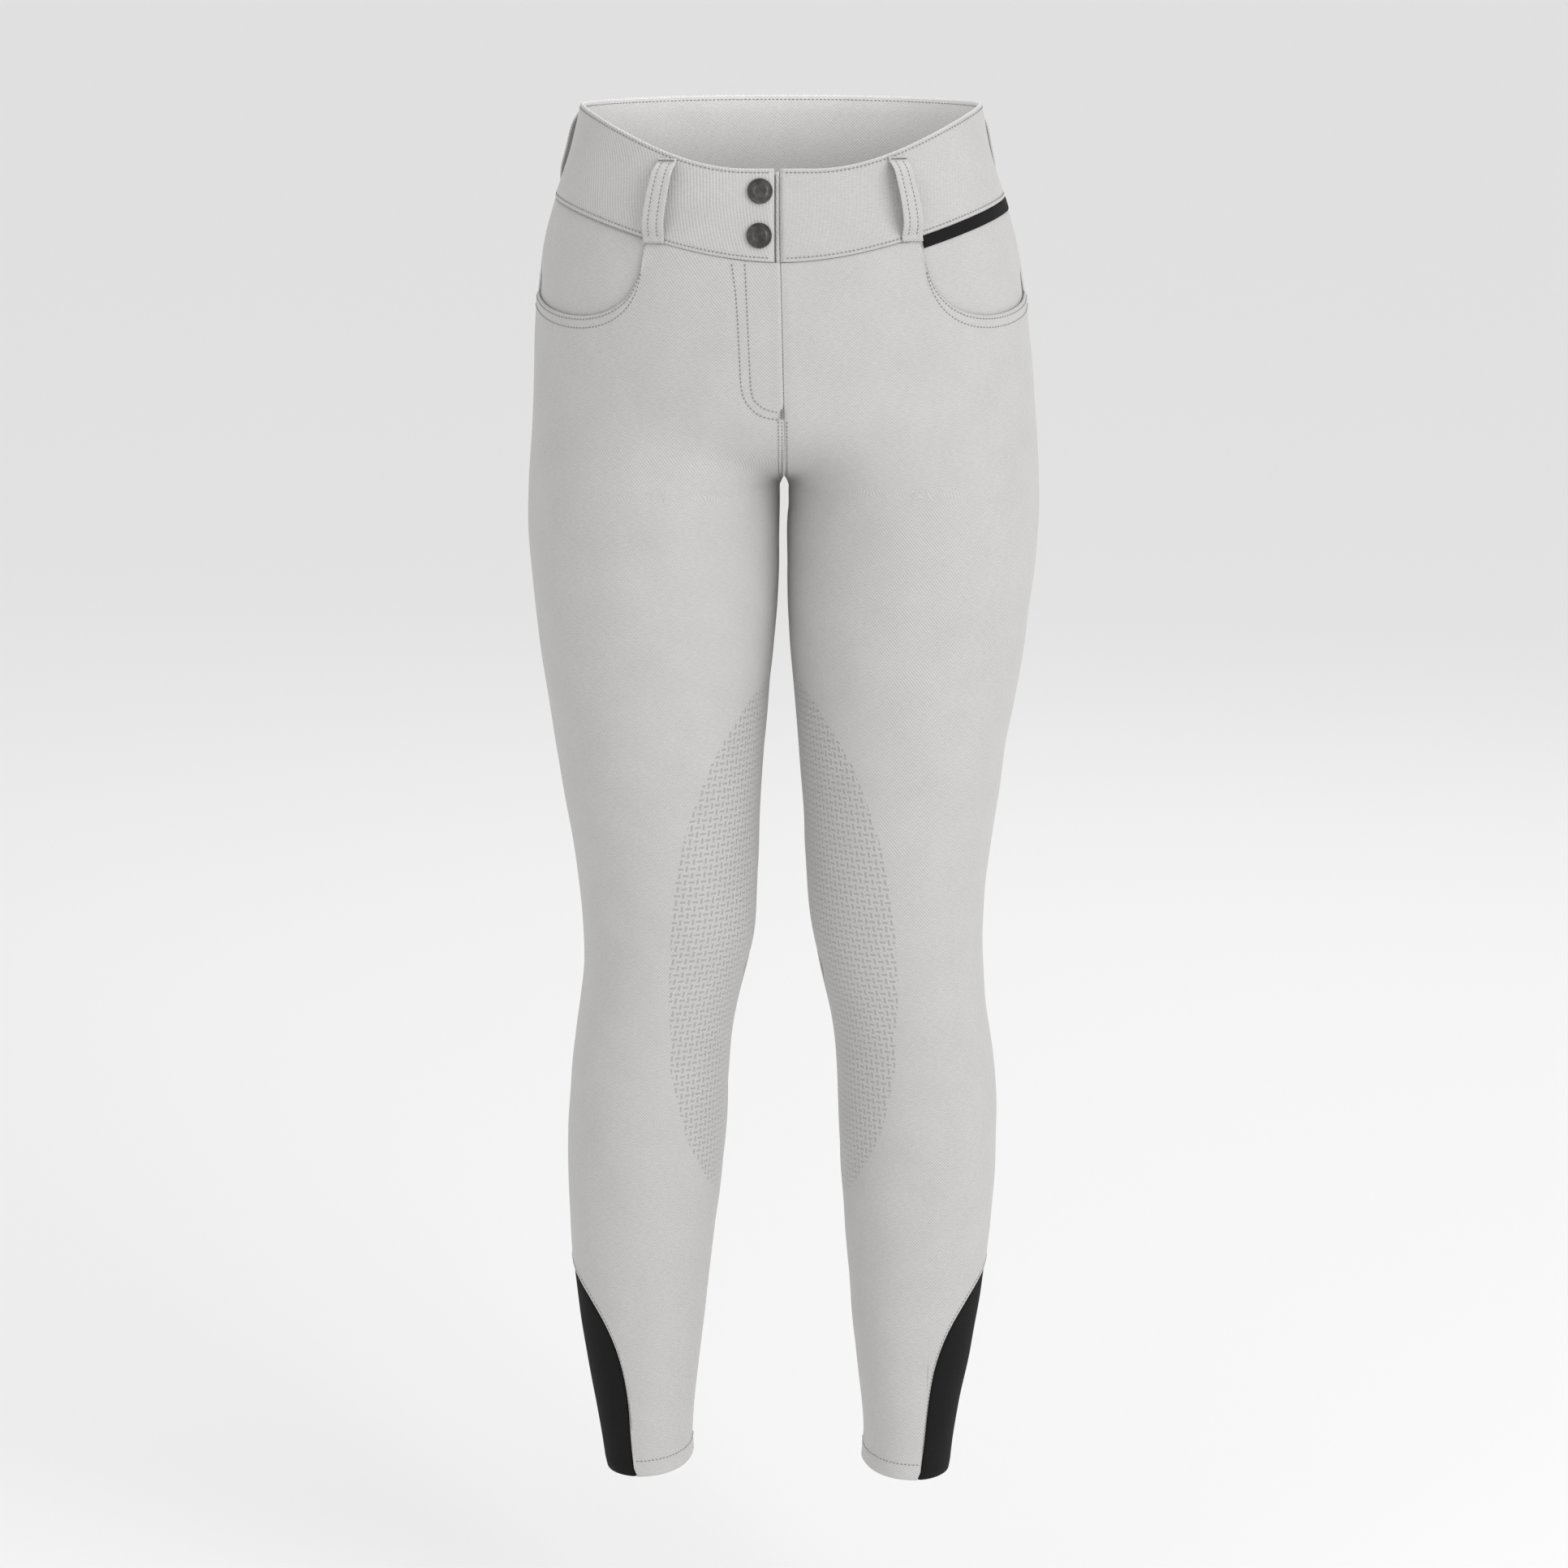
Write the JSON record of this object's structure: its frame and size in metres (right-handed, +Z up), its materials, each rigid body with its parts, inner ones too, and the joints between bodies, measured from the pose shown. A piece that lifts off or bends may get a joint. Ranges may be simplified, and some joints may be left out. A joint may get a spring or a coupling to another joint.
{
  "type": "riding breeches",
  "caption": "Women's full-length riding breeches, filled out and hollow, with a snap waistband, fly, scoop pockets, belt loops and dark stretch ankle inserts",
  "frame": {"origin": "centre of the waist opening, level with the waistband's top edge at the sides, where the garment is held", "axes": "+Z up along the body, -Y the front, +X the wearer's left"},
  "size_m": [0.3469, 0.236, 0.9626],
  "materials": {
    "cloth": "light grey stretch twill, matt",
    "stretch": "black stretch jersey, matt",
    "ribbon": "black woven ribbon, slight sheen",
    "studs": "dark gunmetal plating"
  },
  "bodies": {
    "root": {"front_right": "cloth", "front_left": "cloth", "back_right": "cloth", "back_left": "cloth", "pocket_facing_right": "cloth", "pocket_facing_left": "cloth", "fly_underlap": "cloth", "waistband_right": "cloth", "waistband_left": "cloth", "waistband_back": "cloth", "belt_loop_front_right": "cloth", "belt_loop_front_left": "cloth", "belt_loop_back_right": "cloth", "belt_loop_back_left": "cloth", "belt_loop_centre_back": "cloth", "ankle_insert_right": "stretch", "ankle_insert_left": "stretch", "snap_upper": "studs", "snap_lower": "studs", "ribbon_left": "ribbon"}
  },
  "joints": []
}
